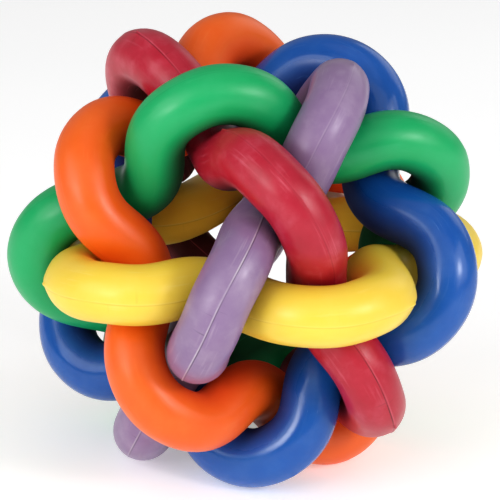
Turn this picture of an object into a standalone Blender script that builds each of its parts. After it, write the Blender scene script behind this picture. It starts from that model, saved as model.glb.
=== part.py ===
"""A hollow ball woven from six closed rubber rings, each wavy with five lobes.

The six rings lie around the six five-fold axes of an icosahedron. Every ring passes over and
under the other five in turn, ten crossings to a ring, so none can leave the ball. All six are the
same moulding in a different colour: one is drawn around the vertical axis, and each of the others
is that ring given a half-turn about the line midway between the vertical axis and its own axis.

Metres, +Z up. The origin is the ball's centre, and +Z is the yellow ring's axis.
"""

import math

import bpy
from mathutils import Vector

# Size of one ring
RING_RADIUS = 0.0378          # ball's centre to the ring's own middle line, on average
TUBE_RADIUS = 0.0061          # the round section of the rubber
LOBES = 5                     # lobes that stand out over a crossing, with as many dips between

# How the middle line leaves a plain circle, as waves of 1, 2 and 3 cycles to a lobe
RISE = (0.00705, -0.00106, 0.0)                         # away from the centre, cosine waves
SWAY = (0.00117, -0.00040, 0.00020)                     # along the ring's axis, sine waves
BUNCHING = tuple(map(math.radians, (-2.2, 0.9, -0.8)))  # forward around the ring, sine waves

# How the rings lean against each other
TILT = math.atan(2.0)         # angle between any two rings' axes, as in an icosahedron
FIRST_LEAN = math.radians(18)  # the compass direction that the red ring's axis leans to

# Fineness of the tube
POINTS_PER_LOBE = 20
TUBE_BEVEL = 3                # ten sides

# Name, colour and roughness of each ring: the upright one, then the others counter-clockwise
UPRIGHT_RING = ("yellow_ring", (0.97, 0.64, 0.07), 0.42)
LEANING_RINGS = (
    ("red_ring", (0.52, 0.040, 0.066), 0.40),
    ("green_ring", (0.020, 0.41, 0.135), 0.36),
    ("purple_ring", (0.32, 0.205, 0.36), 0.45),
    ("blue_ring", (0.026, 0.105, 0.36), 0.32),
    ("orange_ring", (0.84, 0.135, 0.025), 0.42),
)


def clear_scene():
    for obj in list(bpy.data.objects):
        bpy.data.objects.remove(obj, do_unlink=True)


def wave(amplitudes, shape, angle):
    """Sum of the waves of 1, 2, 3 ... cycles to a lobe, at an angle around the ring."""
    return sum(size * shape((n + 1) * LOBES * angle) for n, size in enumerate(amplitudes))


def ring_point(angle):
    """A point of the upright ring's middle line. A lobe stands at angle 0."""
    reach = RING_RADIUS + wave(RISE, math.cos, angle)
    heading = angle + wave(BUNCHING, math.sin, angle)
    height = wave(SWAY, math.sin, angle)
    return Vector((reach * math.cos(heading), reach * math.sin(heading), height))


def rubber(name, colour, roughness):
    material = bpy.data.materials.new(name + "_rubber")
    material.use_nodes = True
    shader = material.node_tree.nodes["Principled BSDF"]
    shader.inputs["Base Color"].default_value = (*colour, 1.0)
    shader.inputs["Roughness"].default_value = roughness
    shader.inputs["Metallic"].default_value = 0.0
    return material


def add_ring(collection, name, colour, roughness):
    """One closed ring around the vertical axis, with its origin at the ball's centre."""
    count = LOBES * POINTS_PER_LOBE
    curve = bpy.data.curves.new(name, "CURVE")
    curve.dimensions = "3D"
    curve.twist_mode = "Z_UP"
    curve.bevel_depth = TUBE_RADIUS
    curve.bevel_resolution = TUBE_BEVEL
    spline = curve.splines.new("POLY")
    spline.points.add(count - 1)
    for i, point in enumerate(spline.points):
        point.co = (*ring_point(math.tau * i / count), 1.0)
    spline.use_cyclic_u = True
    spline.use_smooth = True
    curve.materials.append(rubber(name, colour, roughness))
    ring = bpy.data.objects.new(name, curve)
    collection.objects.link(ring)
    return ring


def lean_over(ring, compass):
    """Half-turn a ring about the line midway between +Z and its own leaning axis."""
    half_tilt = TILT / 2
    midway = Vector((
        math.sin(half_tilt) * math.cos(compass),
        math.sin(half_tilt) * math.sin(compass),
        math.cos(half_tilt),
    ))
    ring.rotation_mode = "AXIS_ANGLE"
    ring.rotation_axis_angle = (math.pi, *midway)


def build():
    clear_scene()
    collection = bpy.data.collections.new("woven_ring_ball")
    bpy.context.scene.collection.children.link(collection)
    add_ring(collection, *UPRIGHT_RING)
    for i, look in enumerate(LEANING_RINGS):
        ring = add_ring(collection, *look)
        lean_over(ring, FIRST_LEAN + math.tau * i / LOBES)


build()
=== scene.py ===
"""Looks of the woven ring ball: six moulded rubber rings on a pale floor in soft studio light.

Each ring of the frame is replaced by a fine mesh of the same ring, with the thin flash and the
small step that its two-part mould left along the parting line, and with a rubber material.
"""

import math

import bpy
import numpy as np
from mathutils import Matrix, Vector


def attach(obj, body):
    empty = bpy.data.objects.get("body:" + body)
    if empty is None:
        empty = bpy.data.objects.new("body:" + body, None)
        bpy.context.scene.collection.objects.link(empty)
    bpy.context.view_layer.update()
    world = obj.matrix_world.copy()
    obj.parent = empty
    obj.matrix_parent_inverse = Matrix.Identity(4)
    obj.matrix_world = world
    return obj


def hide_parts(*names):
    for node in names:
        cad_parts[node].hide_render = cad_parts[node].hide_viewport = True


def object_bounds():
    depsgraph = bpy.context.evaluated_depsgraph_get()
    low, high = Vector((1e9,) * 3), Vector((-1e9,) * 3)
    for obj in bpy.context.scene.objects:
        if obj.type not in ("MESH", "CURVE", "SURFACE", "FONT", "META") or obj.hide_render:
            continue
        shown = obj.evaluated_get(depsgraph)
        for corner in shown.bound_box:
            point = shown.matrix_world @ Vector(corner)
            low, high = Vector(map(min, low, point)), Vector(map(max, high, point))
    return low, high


MM = 0.001

# ---------------------------------------------------------------- the rings, as the frame has them
LOBES = 5
RING_RADIUS = 37.8 * MM
TUBE_RADIUS = 6.04 * MM
RISE = (7.05 * MM, -1.06 * MM, 0.0)                     # away from the centre, cosine waves
SWAY = (1.17 * MM, -0.40 * MM, 0.20 * MM)               # along the ring's axis, sine waves
BUNCHING = tuple(map(math.radians, (-2.2, 0.9, -0.8)))  # forward around the ring, sine waves
TILT = math.atan(2.0)                                   # between any two rings' axes
FIRST_LEAN = math.radians(18)

# Where the soft rings stand out of the even weave: degrees around the ring, then how far the
# rubber there is pushed away from the centre and along the ring's axis.
FLEX = {
    "orange_ring": [(288, 2.0 * MM, 0.0), (0, 0.6 * MM, 0.0)],
    "red_ring": [(0, 2.0 * MM, 0.4 * MM)],
    "blue_ring": [(216, -0.5 * MM, 0.0), (144, 0.9 * MM, 0.0), (0, 0.4 * MM, 0.0)],
    "purple_ring": [(144, -0.4 * MM, 0.0), (180, -0.3 * MM, 0.0)],
    "green_ring": [(108, -0.3 * MM, 0.0), (0, 0.3 * MM, 0.0), (144, 0.4 * MM, 0.0)],
}

# ---------------------------------------------------------------- the surface of a moulding
STEPS_AROUND = 540             # along the ring
FINE_PLACES = (0.0, 0.8, 1.6, 2.6, 4.0, 6.0)  # degrees around the section from the parting line
COARSE_STEP = math.radians(9)  # around the section, past those places
FLASH_HEIGHT = 0.16 * MM       # thin fin of rubber along the parting line
FLASH_WIDTH = math.radians(1.6)
MOULD_STEP = 0.05 * MM         # how far the two halves of the mould are out of line
MOULD_STEP_WIDTH = math.radians(2.0)
SWELL = 0.02 * MM              # how far the thickness wanders
NUB_HEIGHT = 0.5 * MM          # torn-off vent, about one to a lobe
NUB_LENGTH = math.radians(1.2)
NUB_WIDTH = math.radians(3.2)
PEAK_HEIGHT = 0.45 * MM        # low peak that the nub stands on
PEAK_LENGTH = math.radians(9)
PEAK_WIDTH = math.radians(14)
WRAP_LENGTH = 300.0            # about the millimetres along a ring, for patterns that follow it
WRAP_GIRTH = 38.0              # millimetres around its section

# ---------------------------------------------------------------- the patterns in the rubber
RUBBER_IOR = 1.5
# Features to a metre, the same in all directions
TONE_SCALE = 55.0
HAZE_SCALE = 90.0
WEAR_SCALE = 140.0
RIPPLE_SCALE = 160.0
PATCH_SCALE = 190.0
SPECK_SCALE = 420.0
GRAIN_SCALE = 1500.0
# Features to a millimetre, along the ring and around its section
FIBRE_SCALE = (0.13, 2.0)
SCUFF_GROUP_SCALE = (0.07, 0.22)
SEAM_BREAK_SCALE = (0.16, 0.0)
CUT_SCALE = (1.6, 0.10)
# The seam's profile, as sines of the angle around the section from the parting line
CREST_EDGES = (0.012, 0.030)
GROOVE_PLACE = 0.042
GROOVE_EDGES = (0.010, 0.028)
CUT_REACH = (0.10, 0.55)
BUMP_STRENGTH = 0.25
BUMP_DISTANCE = 0.10 * MM

# ---------------------------------------------------------------- camera and lights
CAMERA_DISTANCE = 0.5278       # metres from the ball's centre
CAMERA_COMPASS = math.radians(259.66)
CAMERA_RISE = math.radians(17.23)
CAMERA_ROLL = math.radians(2.35)
CAMERA_LENS = 182.2            # millimetres
CAMERA_SHIFT = (0.0041, -0.0003)
SENSOR_WIDTH = 36.0            # millimetres
NEAREST_SEEN = 0.01            # metres
WORLD_STRENGTH = 0.26
FLOOR_GLOW = 0.33
FLOOR_ROUGHNESS = 0.8
FLOOR_TONES = (0.90, 0.93)
FLOOR_TONE_SCALE = 3.0         # features to a metre
FLOOR_REACH = 12.0             # metres, so far that no horizon shows, except in very low views
SOFTBOXES = (
    # name, degrees round from the camera, degrees up, distance, width and height, watts
    ("softbox_left", -52, 24, 0.80, (0.65, 0.50), 1.95),
    ("strip_left", -38, 14, 0.70, (0.20, 0.14), 0.58),
    ("softbox_right", 57, 26, 0.80, (0.65, 0.50), 1.38),
    ("strip_right", 49, 26, 0.70, (0.18, 0.12), 0.88),
    ("softbox_front", 0, 42, 0.90, (0.90, 0.60), 1.00),
    ("softbox_top", 0, 85, 0.90, (0.60, 0.60), 0.35),
    ("back_left", -140, 30, 0.90, (0.60, 0.50), 0.15),
    ("back_right", 140, 30, 0.90, (0.60, 0.50), 0.75),
)


def waves(amplitudes, shape, angle):
    """Sum of the waves of 1, 2, 3 ... cycles to a lobe."""
    return sum(size * shape((n + 1) * LOBES * angle) for n, size in enumerate(amplitudes))


def bump_at(angle, degrees, half_width):
    """A smooth bump, 1 at that place on the ring and 0 from half_width on either side of it."""
    apart = (angle - math.radians(degrees) + math.pi) % math.tau - math.pi
    return np.where(np.abs(apart) < half_width, (1 + np.cos(apart * math.pi / half_width)) / 2, 0)


def ring_line(angle, flex):
    """The middle line of the upright ring, as an array of points. A lobe stands at angle 0."""
    reach = RING_RADIUS + waves(RISE, np.cos, angle)
    heading = angle + waves(BUNCHING, np.sin, angle)
    height = waves(SWAY, np.sin, angle)
    for degrees, outward, sideways in flex:
        bump = bump_at(angle, degrees, math.pi / LOBES)
        reach = reach + outward * bump
        height = height + sideways * bump
    return np.stack([reach * np.cos(heading), reach * np.sin(heading), height], axis=1)


def unit(vectors):
    return vectors / np.linalg.norm(vectors, axis=-1, keepdims=True)


def section_angles():
    """Angles around the section, close together where the parting line crosses it."""
    near = np.radians(FINE_PLACES)
    side = np.concatenate([near, np.arange(near[-1], math.pi / 2, COARSE_STEP)[1:]])
    quarter = np.concatenate([side, [math.pi / 2]])
    half = np.concatenate([quarter, math.pi - quarter[-2::-1]])
    return np.concatenate([half, half[1:-1] + math.pi])


def drift(rng, count, knots, low, high):
    """A smooth closed random run of values between low and high."""
    values = rng.uniform(low, high, knots)
    place = np.arange(count) * knots / count
    left = np.floor(place).astype(int)
    blend = (1 - np.cos((place - left) * math.pi)) / 2
    return values[left % knots] * (1 - blend) + values[(left + 1) % knots] * blend


def ring_mesh(name, seed, flash_at_lobes, vents, flex):
    """A fine closed tube round the ring's line, with flash and a mould step at the parting line.

    The strength of both is given lobe by lobe and runs smoothly from one lobe to the next. The
    torn-off vents stand at the given degrees around the ring, at a share of their full height.
    """
    rng = np.random.default_rng(seed)
    angle = np.linspace(0.0, math.tau, STEPS_AROUND, endpoint=False)
    line = ring_line(angle, flex)
    strength = sum(
        share * bump_at(angle, lobe * 360 / LOBES, math.tau / LOBES)
        for lobe, share in enumerate(flash_at_lobes)
    )
    forward = unit(np.roll(line, -1, 0) - np.roll(line, 1, 0))
    outward = unit(np.cross(forward, [0.0, 0.0, 1.0]))
    upward = np.cross(outward, forward)

    section = section_angles()
    from_line = np.arcsin(np.sin(section))
    outer_side = np.cos(section) > 0
    crest = np.exp(-(from_line / FLASH_WIDTH) ** 2)
    top_half = np.tanh(from_line / MOULD_STEP_WIDTH)

    outer_flash = drift(rng, STEPS_AROUND, 60, 0.35, 1.0) * drift(rng, STEPS_AROUND, 11, 0.6, 1.2)
    inner_flash = drift(rng, STEPS_AROUND, 60, 0.5, 1.2) * drift(rng, STEPS_AROUND, 11, 0.6, 1.2)
    flash = np.where(outer_side, outer_flash[:, None], inner_flash[:, None]) * crest
    slip = drift(rng, STEPS_AROUND, 7, 0.3, 1.0)[:, None] * top_half
    swell = drift(rng, STEPS_AROUND, 23, -SWELL, SWELL)[:, None]
    ridge = strength[:, None] * (FLASH_HEIGHT * flash + MOULD_STEP * slip)
    radius = TUBE_RADIUS + ridge + swell

    nub = NUB_HEIGHT * np.exp(-(from_line / NUB_WIDTH) ** 2) * outer_side
    peak = PEAK_HEIGHT * np.exp(-(from_line / PEAK_WIDTH) ** 2) * outer_side
    share, places = vents
    for place in places:
        size = share * rng.uniform(0.7, 1.0)
        radius = radius + size * bump_at(angle, place, NUB_LENGTH)[:, None] * nub
        radius = radius + size * bump_at(angle, place, PEAK_LENGTH)[:, None] * peak

    points = (
        line[:, None]
        + outward[:, None] * (radius * np.cos(section))[..., None]
        + upward[:, None] * (radius * np.sin(section))[..., None]
    )
    rows, columns = radius.shape
    index = np.arange(rows * columns).reshape(rows, columns)
    after = np.roll(index, -1, 0)
    faces = np.stack([index, after, np.roll(after, -1, 1), np.roll(index, -1, 1)], -1)

    mesh = bpy.data.meshes.new(name)
    mesh.from_pydata(points.reshape(-1, 3), [], faces.reshape(-1, 4))
    mesh.shade_smooth()
    values = {
        "seam": np.tile(np.sin(section), rows),
        "outer": np.tile(np.cos(section), rows),
        "lobe": np.repeat(np.cos(LOBES * angle), columns),
        "flash": np.repeat(strength, columns),
    }
    for label, value in values.items():
        attribute = mesh.attributes.new(label, "FLOAT", "POINT")
        attribute.data.foreach_set("value", value.astype(np.float32))

    # The wrap map runs once along the ring and once around its section.
    row, column = np.divmod(index, columns)
    places_on_map = np.stack([
        np.stack([row, column], -1),
        np.stack([row + 1, column], -1),
        np.stack([row + 1, column + 1], -1),
        np.stack([row, column + 1], -1),
    ], 2) / [rows, columns]
    wrap = mesh.uv_layers.new(name="wrap")
    wrap.data.foreach_set("uv", places_on_map.astype(np.float32).ravel())
    return mesh


def lean(compass):
    """Half-turn about the line midway between +Z and the leaning ring's axis."""
    half_tilt = TILT / 2
    midway = Vector((
        math.sin(half_tilt) * math.cos(compass),
        math.sin(half_tilt) * math.sin(compass),
        math.cos(half_tilt),
    ))
    return Matrix.Rotation(math.pi, 4, midway)


# ---------------------------------------------------------------- materials
class Nodes:
    """Small helper that makes shader nodes and wires them."""

    def __init__(self, name):
        self.material = bpy.data.materials.new(name)
        self.material.use_nodes = True
        self.tree = self.material.node_tree
        self.shader = self.tree.nodes["Principled BSDF"]
        self.place = self.tree.nodes.new("ShaderNodeTexCoord").outputs["Object"]

    def make(self, kind, inputs=None, **settings):
        node = self.tree.nodes.new(kind)
        for key, value in settings.items():
            setattr(node, key, value)
        for key, value in (inputs or {}).items():
            self.feed(node.inputs[key], value)
        return node

    def feed(self, socket, value):
        if isinstance(value, bpy.types.NodeSocket):
            self.tree.links.new(value, socket)
        else:
            socket.default_value = value

    def noise(self, scale, detail=2.0, roughness=0.5, place=None):
        node = self.make("ShaderNodeTexNoise", {
            "Vector": place or self.place,
            "Scale": scale,
            "Detail": detail,
            "Roughness": roughness,
        })
        return node.outputs["Fac"]

    def stretched_noise(self, scale, detail, roughness):
        """Noise that follows the ring, with its own scale along the ring and around it."""
        along, around = scale
        wrap = self.make("ShaderNodeUVMap", uv_map="wrap").outputs["UV"]
        size = (WRAP_LENGTH * along, WRAP_GIRTH * around, 0.0)
        place = self.make("ShaderNodeVectorMath", {0: wrap, 1: size}, operation="MULTIPLY")
        return self.noise(1.0, detail, roughness, place.outputs[0])

    def attribute(self, name):
        return self.make("ShaderNodeAttribute", attribute_name=name).outputs["Fac"]

    def remap(self, value, from_range, to_range):
        node = self.make("ShaderNodeMapRange", {
            "Value": value,
            "From Min": from_range[0],
            "From Max": from_range[1],
            "To Min": to_range[0],
            "To Max": to_range[1],
        }, clamp=True)
        return node.outputs["Result"]

    def mix(self, factor, first, second):
        node = self.make("ShaderNodeMix", data_type="RGBA")
        self.feed(node.inputs["Factor"], factor)
        self.feed(node.inputs["A"], first)
        self.feed(node.inputs["B"], second)
        return node.outputs["Result"]

    def math(self, operation, first, second=0.0):
        node = self.make("ShaderNodeMath", {0: first, 1: second}, operation=operation)
        return node.outputs[0]

    def times(self, *factors):
        product = factors[0]
        for factor in factors[1:]:
            product = self.math("MULTIPLY", product, factor)
        return product


def rubber(name, colour, deep, pale, inside_shade, roughness, bloom_and_sheen, mottle, scuff):
    """Moulded rubber: mottled colour, painted shade on the side that faces the hollow, a pale haze
    that is partly dust and partly painted sheen, scuffs along the ring and a marked seam with a
    painted shade edge.
    """
    n = Nodes(name)
    n.feed(n.shader.inputs["IOR"], RUBBER_IOR)
    plain, deep, pale, inside_shade = ((*tone, 1.0) for tone in (colour, deep, pale, inside_shade))
    black = (0.0, 0.0, 0.0, 1.0)

    # Colour that wanders over a centimetre or two, and in patches of a few millimetres.
    base = n.mix(n.remap(n.noise(TONE_SCALE, 3.0), (0.35, 0.65), (0.0, 0.30)), plain, deep)
    patches = n.noise(PATCH_SCALE, 4.0, 0.6)
    base = n.mix(n.remap(patches, (0.30, 0.50), (mottle, 0.0)), base, deep)
    base = n.mix(n.remap(patches, (0.52, 0.75), (0.0, mottle)), base, pale)
    base = n.mix(n.remap(n.noise(SPECK_SCALE, 3.0), (0.3, 0.7), (0.0, 0.05)), base, pale)

    # Painted shade: the side that faces the hollow takes a darker colour, and for yellow and
    # orange a warmer, redder one as painted bounce light. It is also dull, because nothing rubs it
    # clean.
    hidden = n.remap(n.attribute("outer"), (-0.80, -0.05), (0.95, 0.0))
    base = n.mix(hidden, base, inside_shade)

    # Bloom and painted sheen: a dull pale haze on the outer side, heaviest on the lobes' tips and
    # in the dips. It is partly dust bloom, and where it is strong, as on the orange ring, it is
    # painted sheen on the outward side.
    ends = n.remap(n.math("ABSOLUTE", n.attribute("lobe")), (0.3, 1.0), (0.5, 1.0))
    open_side = n.remap(n.attribute("outer"), (0.0, 0.9), (0.15, 1.0))
    haze = n.remap(n.noise(HAZE_SCALE, 5.0, 0.6), (0.35, 0.68), (0.25, 1.0))
    base = n.mix(n.times(haze, ends, open_side, bloom_and_sheen), base, pale)

    # Scuffs: thin pale lines that run with the ring, in groups.
    fibres = n.remap(n.stretched_noise(FIBRE_SCALE, 2.0, 0.5), (0.58, 0.70), (0.0, 1.0))
    groups = n.remap(n.stretched_noise(SCUFF_GROUP_SCALE, 2.0, 0.5), (0.48, 0.64), (0.0, 1.0))
    scuffs = n.times(fibres, groups, scuff)
    base = n.mix(scuffs, base, pale)

    # The seam: a pale crest, partly wear and partly painted highlight, with painted shade as a
    # dark edge on the low side of the mould step. The same dark tone also colours the nicks.
    seam = n.attribute("seam")
    broken = n.remap(n.stretched_noise(SEAM_BREAK_SCALE, 3.0, 0.6), (0.35, 0.60), (0.3, 1.0))
    line = n.times(broken, n.math("MINIMUM", n.attribute("flash"), 1.0))
    crest = n.remap(n.math("ABSOLUTE", seam), CREST_EDGES, (1.0, 0.0))
    edge = n.math("ABSOLUTE", n.math("ADD", seam, GROOVE_PLACE))
    groove = n.remap(edge, GROOVE_EDGES, (1.0, 0.0))
    shade_and_cut_tone = n.mix(0.45, inside_shade, black)
    base = n.mix(n.times(groove, line, 0.85), base, shade_and_cut_tone)
    base = n.mix(n.times(crest, line, 0.65), base, pale)

    # Nicks: a few short dark cuts across the seam.
    cuts = n.remap(n.stretched_noise(CUT_SCALE, 1.0, 0.5), (0.70, 0.76), (0.0, 1.0))
    near = n.remap(n.math("ABSOLUTE", seam), CUT_REACH, (1.0, 0.0))
    base = n.mix(n.times(cuts, near, line, 0.5), base, shade_and_cut_tone)
    n.feed(n.shader.inputs["Base Color"], base)

    # Gloss that wanders, dull on the hidden side and along the scuffs.
    wear = n.noise(WEAR_SCALE, 4.0, 0.6)
    worn = n.remap(wear, (0.3, 0.7), (roughness - 0.05, roughness + 0.07))
    worn = n.math("ADD", worn, n.times(hidden, 0.55))
    n.feed(n.shader.inputs["Roughness"], n.math("ADD", worn, n.times(scuffs, 0.25)))

    # Fine grain, a slow ripple and the scuffs' own roughness, as bump.
    grain = n.noise(GRAIN_SCALE, 3.0, 0.6)
    ripple = n.noise(RIPPLE_SCALE, 2.0)
    height = n.math("ADD", n.times(grain, 0.4), ripple)
    height = n.math("ADD", height, n.times(fibres, groups, scuff, 0.5))
    bump = n.make("ShaderNodeBump", {
        "Height": height,
        "Strength": BUMP_STRENGTH,
        "Distance": BUMP_DISTANCE,
    })
    n.feed(n.shader.inputs["Normal"], bump.outputs["Normal"])
    return n.material


# Each ring, in the order of the frame's weave: the upright one, then the leaning ones in turn.
# flash: strength of the flash and mould step at each lobe. vents: their height as a share of the
# full height, and their places in degrees around the ring. look: what rubber() makes of it.
# In each look, the inside colour is painted shade on the side that faces the hollow, warmer and
# redder for yellow and orange as painted bounce light.
RINGS = (
    {
        "name": "yellow_ring",
        "flash": (0.5, 0.4, 0.5, 0.35, 0.30),
        "vents": (0.9, (2, 75, 146, 205, 301)),
        "look": {
            "colour": (0.893, 0.649, 0.069),
            "deep": (0.85, 0.54, 0.035),
            "pale": (0.92, 0.76, 0.26),
            "inside_shade": (0.93, 0.50, 0.035),
            "roughness": 0.36,
            "bloom_and_sheen": 0.08,
            "mottle": 0.10,
            "scuff": 0.20,
        },
    },
    {
        "name": "red_ring",
        "flash": (0.60, 0.15, 0.80, 0.5, 0.5),
        "vents": (1.0, (6, 52, 145, 214, 291)),
        "look": {
            "colour": (0.455, 0.0095, 0.033),
            "deep": (0.32, 0.003, 0.016),
            "pale": (0.62, 0.12, 0.17),
            "inside_shade": (0.05, 0.002, 0.003),
            "roughness": 0.34,
            "bloom_and_sheen": 0.10,
            "mottle": 0.36,
            "scuff": 0.50,
        },
    },
    {
        "name": "green_ring",
        "flash": (0.10, 0.15, 0.10, 0.2, 0.2),
        "vents": (0.1, (3, 70, 147, 215, 288)),
        "look": {
            "colour": (0.005, 0.400, 0.130),
            "deep": (0.002, 0.33, 0.092),
            "pale": (0.08, 0.50, 0.24),
            "inside_shade": (0.001, 0.07, 0.018),
            "roughness": 0.35,
            "bloom_and_sheen": 0.08,
            "mottle": 0.10,
            "scuff": 0.12,
        },
    },
    {
        "name": "purple_ring",
        "flash": (0.6, 1.20, 0.15, 0.8, 0.8),
        "vents": (0.35, (150, 225)),
        "look": {
            "colour": (0.250, 0.155, 0.300),
            "deep": (0.195, 0.112, 0.250),
            "pale": (0.62, 0.54, 0.62),
            "inside_shade": (0.17, 0.105, 0.20),
            "roughness": 0.33,
            "bloom_and_sheen": 0.16,
            "mottle": 0.16,
            "scuff": 0.20,
        },
    },
    {
        "name": "blue_ring",
        "flash": (0.2, 0.3, 0.4, 0.2, 0.2),
        "vents": (0.25, (5, 80, 290)),
        "look": {
            "colour": (0.009, 0.102, 0.404),
            "deep": (0.009, 0.058, 0.29),
            "pale": (0.07, 0.20, 0.50),
            "inside_shade": (0.010, 0.030, 0.17),
            "roughness": 0.20,
            "bloom_and_sheen": 0.08,
            "mottle": 0.16,
            "scuff": 0.20,
        },
    },
    {
        "name": "orange_ring",
        "flash": (0.2, 0.1, 0.2, 0.15, 0.1),
        "vents": (0.15, (66, 139, 219)),
        "look": {
            "colour": (0.84, 0.122, 0.0055),
            "deep": (0.76, 0.088, 0.004),
            "pale": (0.85, 0.22, 0.045),
            "inside_shade": (0.92, 0.080, 0.002),
            "roughness": 0.37,
            # Strong here: mostly painted sheen on the outer side.
            "bloom_and_sheen": 0.30,
            "mottle": 0.14,
            "scuff": 0.25,
        },
    },
)
FIRST_SEED = 11


def add_rings():
    for number, ring_kind in enumerate(RINGS):
        name = ring_kind["name"]
        seed = FIRST_SEED + number
        flex = FLEX.get(name, [])
        mesh = ring_mesh(name + "_moulding", seed, ring_kind["flash"], ring_kind["vents"], flex)
        if number > 0:
            mesh.transform(lean(FIRST_LEAN + math.tau * (number - 1) / LOBES))
        mesh.materials.append(rubber(name + "_rubber", **ring_kind["look"]))
        ring = bpy.data.objects.new(name + "_moulding", mesh)
        bpy.context.scene.collection.objects.link(ring)
        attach(ring, name)
        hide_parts(name)


# ---------------------------------------------------------------- stage, camera and light
def direction(compass, rise):
    """Unit vector from the ball's centre towards a compass direction and a height angle."""
    flat = math.cos(rise)
    return Vector((flat * math.cos(compass), flat * math.sin(compass), math.sin(rise)))


def add_floor(height):
    """A plain pale floor that glows a little, so that the background is nearly white."""
    mesh = bpy.data.meshes.new("floor")
    edge = FLOOR_REACH
    square = [(-edge, -edge, 0), (edge, -edge, 0), (edge, edge, 0), (-edge, edge, 0)]
    mesh.from_pydata(square, [], [(0, 1, 2, 3)])
    n = Nodes("pale_floor")
    n.feed(n.shader.inputs["Roughness"], FLOOR_ROUGHNESS)
    tone = n.remap(n.noise(FLOOR_TONE_SCALE), (0.3, 0.7), (0.0, 1.0))
    darker, lighter = ((grey, grey, grey, 1.0) for grey in FLOOR_TONES)
    white = n.mix(tone, darker, lighter)
    n.feed(n.shader.inputs["Base Color"], white)
    n.feed(n.shader.inputs["Emission Color"], white)
    n.feed(n.shader.inputs["Emission Strength"], FLOOR_GLOW)
    mesh.materials.append(n.material)
    floor = bpy.data.objects.new("floor", mesh)
    floor.location.z = height
    bpy.context.scene.collection.objects.link(floor)


def add_camera():
    """The camera of the photo's view, aimed at the ball's centre and rolled a little."""
    back = direction(CAMERA_COMPASS, CAMERA_RISE)
    level = Vector((0, 0, 1)).cross(back).normalized()
    above = back.cross(level)
    right = level * math.cos(CAMERA_ROLL) + above * math.sin(CAMERA_ROLL)
    up = back.cross(right)
    data = bpy.data.cameras.new("camera")
    data.lens = CAMERA_LENS
    data.sensor_width = SENSOR_WIDTH
    data.shift_x, data.shift_y = CAMERA_SHIFT
    data.clip_start = NEAREST_SEEN
    camera = bpy.data.objects.new("camera", data)
    facing = Matrix((right, up, back)).transposed().to_4x4()
    camera.matrix_world = Matrix.Translation(back * CAMERA_DISTANCE) @ facing
    bpy.context.scene.collection.objects.link(camera)
    bpy.context.scene.camera = camera


def add_softbox(name, turn, rise, distance, size, watts):
    """A soft box turned this many degrees round from the camera, facing the ball."""
    aim = direction(CAMERA_COMPASS + math.radians(turn), math.radians(rise))
    data = bpy.data.lights.new(name, "AREA")
    data.shape = "RECTANGLE"
    data.size, data.size_y = size
    data.energy = watts
    light = bpy.data.objects.new(name, data)
    light.location = aim * distance
    light.rotation_euler = aim.to_track_quat("Z", "Y").to_euler()
    light.visible_camera = False
    bpy.context.scene.collection.objects.link(light)


def add_world():
    world = bpy.data.worlds.new("light_tent")
    world.use_nodes = True
    background = world.node_tree.nodes["Background"]
    background.inputs["Color"].default_value = (1.0, 1.0, 1.0, 1.0)
    background.inputs["Strength"].default_value = WORLD_STRENGTH
    bpy.context.scene.world = world


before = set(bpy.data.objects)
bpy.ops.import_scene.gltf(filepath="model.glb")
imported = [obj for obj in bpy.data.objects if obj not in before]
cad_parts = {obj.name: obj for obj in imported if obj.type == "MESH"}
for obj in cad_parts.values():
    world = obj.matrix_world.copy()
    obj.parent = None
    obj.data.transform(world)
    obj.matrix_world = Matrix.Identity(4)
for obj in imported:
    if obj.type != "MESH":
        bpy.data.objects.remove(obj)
cad_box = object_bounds()
bpy.context.scene.view_settings.view_transform = "Standard"
bpy.context.scene.view_settings.look = "Medium High Contrast"
add_camera()
add_rings()
add_floor(cad_box[0][2])
add_world()
for softbox in SOFTBOXES:
    add_softbox(*softbox)
